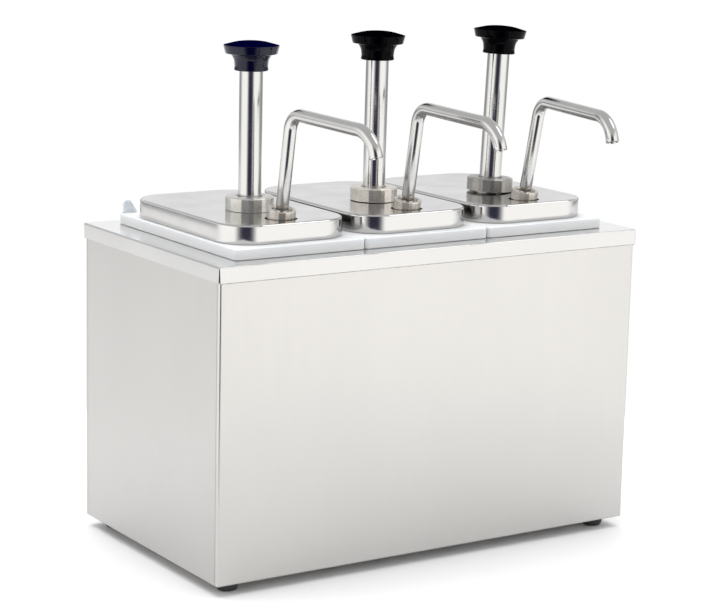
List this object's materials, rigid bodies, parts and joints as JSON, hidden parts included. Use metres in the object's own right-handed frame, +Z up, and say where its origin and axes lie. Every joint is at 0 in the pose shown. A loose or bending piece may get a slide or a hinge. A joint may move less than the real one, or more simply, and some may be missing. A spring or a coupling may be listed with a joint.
{
  "type": "condiment pump dispenser",
  "caption": "Boxy steel cabinet that holds lift-out jars in a row, each with a pressed lid, a spring-return plunger pump and a swivelling bent spout.",
  "frame": {"origin": "middle of the bounding box's bottom, on the surface that the feet stand on", "axes": "+Z up; +X along the row of jars; -Y towards the serving side, where the spouts reach out"},
  "size_m": [0.55, 0.4178, 0.5815],
  "materials": {
    "brushed_panel": "satin, fine brushed grain",
    "lid_steel": "bright, lightly brushed",
    "polished_tube": "polished stainless steel",
    "cast_steel": "dull cast stainless steel",
    "inner_steel": "machined stainless steel",
    "spring_steel": "drawn wire",
    "jar_plastic": "translucent natural polyethylene",
    "knob_plastic": "glossy black with a navy tint",
    "bushing_plastic": "natural acetal",
    "seal_rubber": "food-grade rubber",
    "foot_rubber": "moulded black rubber"
  },
  "bodies": {
    "cabinet": {"front_panel": "brushed_panel", "back_panel": "brushed_panel", "left_side_panel": "brushed_panel", "right_side_panel": "brushed_panel", "base_pan": "brushed_panel", "top_frame": "brushed_panel", "foot_front_left": "foot_rubber", "foot_front_right": "foot_rubber", "foot_back_left": "foot_rubber", "foot_back_right": "foot_rubber"},
    "jar_left": {"jar_left": "jar_plastic"},
    "pump_left": {"lid_left": "lid_steel", "pump_cylinder_left": "inner_steel", "lock_collar_left": "cast_steel", "guide_bushing_left": "bushing_plastic", "return_spring_left": "spring_steel", "foot_valve_left": "inner_steel", "riser_tube_left": "inner_steel", "union_nut_left": "cast_steel"},
    "plunger_left": {"knob_left": "knob_plastic", "plunger_tube_left": "polished_tube", "piston_left": "bushing_plastic", "piston_seal_left": "seal_rubber"},
    "spout_left": {"spout_left": "polished_tube", "ferrule_left": "polished_tube"},
    "check_ball_left": {"check_ball_left": "polished_tube"},
    "jar_middle": {"jar_middle": "jar_plastic"},
    "pump_middle": {"lid_middle": "lid_steel", "pump_cylinder_middle": "inner_steel", "lock_collar_middle": "cast_steel", "guide_bushing_middle": "bushing_plastic", "return_spring_middle": "spring_steel", "foot_valve_middle": "inner_steel", "riser_tube_middle": "inner_steel", "union_nut_middle": "cast_steel"},
    "plunger_middle": {"knob_middle": "knob_plastic", "plunger_tube_middle": "polished_tube", "piston_middle": "bushing_plastic", "piston_seal_middle": "seal_rubber"},
    "spout_middle": {"spout_middle": "polished_tube", "ferrule_middle": "polished_tube"},
    "check_ball_middle": {"check_ball_middle": "polished_tube"},
    "jar_right": {"jar_right": "jar_plastic"},
    "pump_right": {"lid_right": "lid_steel", "pump_cylinder_right": "inner_steel", "lock_collar_right": "cast_steel", "guide_bushing_right": "bushing_plastic", "return_spring_right": "spring_steel", "foot_valve_right": "inner_steel", "riser_tube_right": "inner_steel", "union_nut_right": "cast_steel"},
    "plunger_right": {"knob_right": "knob_plastic", "plunger_tube_right": "polished_tube", "piston_right": "bushing_plastic", "piston_seal_right": "seal_rubber"},
    "spout_right": {"spout_right": "polished_tube", "ferrule_right": "polished_tube"},
    "check_ball_right": {"check_ball_right": "polished_tube"}
  },
  "joints": [
    {"name": "jar_lift_left", "type": "slide", "parent": "cabinet", "child": "jar_left", "axis": [0, 0, 1], "range_m": [0, 0.29]},
    {"name": "lid_lift_left", "type": "slide", "parent": "jar_left", "child": "pump_left", "axis": [0, 0, 1], "range_m": [0, 0.29]},
    {"name": "plunger_press_left", "type": "slide", "parent": "pump_left", "child": "plunger_left", "axis": [0, 0, -1], "range_m": [0, 0.08], "stiffness_N_per_m": 400, "springref_m": -0.03, "deforming": ["return_spring_left"]},
    {"name": "spout_swivel_left", "type": "hinge", "parent": "pump_left", "child": "spout_left", "pos_m": [-0.162, -0.03607, 0.3887], "axis": [0, -0.1633, 0.9866], "range_deg": [-25, 25]},
    {"name": "check_ball_lift_left", "type": "slide", "parent": "pump_left", "child": "check_ball_left", "axis": [0, 0, 1], "range_m": [0, 0.004]},
    {"name": "jar_lift_middle", "type": "slide", "parent": "cabinet", "child": "jar_middle", "axis": [0, 0, 1], "range_m": [0, 0.29]},
    {"name": "lid_lift_middle", "type": "slide", "parent": "jar_middle", "child": "pump_middle", "axis": [0, 0, 1], "range_m": [0, 0.29]},
    {"name": "plunger_press_middle", "type": "slide", "parent": "pump_middle", "child": "plunger_middle", "axis": [-0.007, 0, -1], "range_m": [0, 0.08], "stiffness_N_per_m": 400, "springref_m": -0.03, "deforming": ["return_spring_middle"]},
    {"name": "spout_swivel_middle", "type": "hinge", "parent": "pump_middle", "child": "spout_middle", "pos_m": [0, -0.03607, 0.3887], "axis": [0.0069, -0.1633, 0.9865], "range_deg": [-25, 25]},
    {"name": "check_ball_lift_middle", "type": "slide", "parent": "pump_middle", "child": "check_ball_middle", "axis": [0.007, 0, 1], "range_m": [0, 0.004]},
    {"name": "jar_lift_right", "type": "slide", "parent": "cabinet", "child": "jar_right", "axis": [0, 0, 1], "range_m": [0, 0.29]},
    {"name": "lid_lift_right", "type": "slide", "parent": "jar_right", "child": "pump_right", "axis": [0, 0, 1], "range_m": [0, 0.29]},
    {"name": "plunger_press_right", "type": "slide", "parent": "pump_right", "child": "plunger_right", "axis": [-0.0436, 0, -0.999], "range_m": [0, 0.08], "stiffness_N_per_m": 400, "springref_m": -0.03, "deforming": ["return_spring_right"]},
    {"name": "spout_swivel_right", "type": "hinge", "parent": "pump_right", "child": "spout_right", "pos_m": [0.162, -0.03607, 0.3887], "axis": [0.043, -0.1633, 0.9856], "range_deg": [-25, 25]},
    {"name": "check_ball_lift_right", "type": "slide", "parent": "pump_right", "child": "check_ball_right", "axis": [0.0436, 0, 0.999], "range_m": [0, 0.004]}
  ]
}
